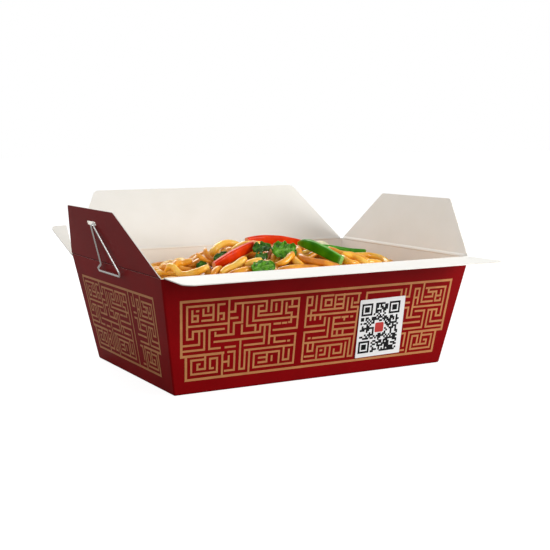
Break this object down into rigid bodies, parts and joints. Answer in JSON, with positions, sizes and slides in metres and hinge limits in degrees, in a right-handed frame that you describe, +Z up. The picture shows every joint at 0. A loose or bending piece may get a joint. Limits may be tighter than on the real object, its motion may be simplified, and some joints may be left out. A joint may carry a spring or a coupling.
{
  "type": "noodle takeaway box",
  "caption": "Open paperboard takeaway carton with sloping walls, creased flaps, a wire loop in the end flap and a heap of fried noodles with vegetables.",
  "frame": {"origin": "centre of the carton's base, on the surface that it stands on", "axes": "+Z up, +X along the long side, the labelled front wall faces -Y"},
  "size_m": [0.2203, 0.198, 0.1008],
  "materials": {
    "red_board": "satin",
    "white_board": "matte",
    "label": "satin",
    "steel": "polished",
    "noodle": "gloss",
    "red_pepper": "gloss",
    "green_pepper": "gloss",
    "onion": "gloss",
    "leaf": "satin"
  },
  "bodies": {
    "root": {"box": "red_board", "label": "label", "noodles": "noodle", "red_pepper_front": "red_pepper", "red_pepper_back": "red_pepper", "green_pepper_front": "green_pepper", "green_pepper_back": "green_pepper", "onion": "onion", "leaf_dark": "leaf", "leaf_bright": "leaf", "leaf_front": "leaf", "leaf_left": "leaf", "leaf_small": "leaf", "leaf_middle": "leaf"},
    "front_flap": {"flap_front": "white_board"},
    "back_flap": {"flap_back": "white_board"},
    "left_flap": {"flap_left": "white_board"},
    "right_flap": {"flap_right": "white_board"},
    "loop": {"wire_loop": "steel"}
  },
  "joints": [
    {"name": "front_crease", "type": "hinge", "parent": "root", "child": "front_flap", "pos_m": [0, -0.07, 0.0645], "axis": [-1, 0, 0], "range_deg": [-30, 166]},
    {"name": "back_crease", "type": "hinge", "parent": "root", "child": "back_flap", "pos_m": [0, 0.07, 0.0645], "axis": [1, 0, 0], "range_deg": [-83.5, 112.5]},
    {"name": "left_crease", "type": "hinge", "parent": "root", "child": "left_flap", "pos_m": [-0.098, 0, 0.0645], "axis": [0, 1, 0], "range_deg": [-11, 107.5]},
    {"name": "right_crease", "type": "hinge", "parent": "root", "child": "right_flap", "pos_m": [0.098, 0, 0.0645], "axis": [0, -1, 0], "range_deg": [-100.5, 105.5]},
    {"name": "loop_swing", "type": "hinge", "parent": "left_flap", "child": "loop", "pos_m": [-0.10709, 0.0017, 0.08757], "axis": [0, 1, 0], "range_deg": [0, 84]}
  ]
}
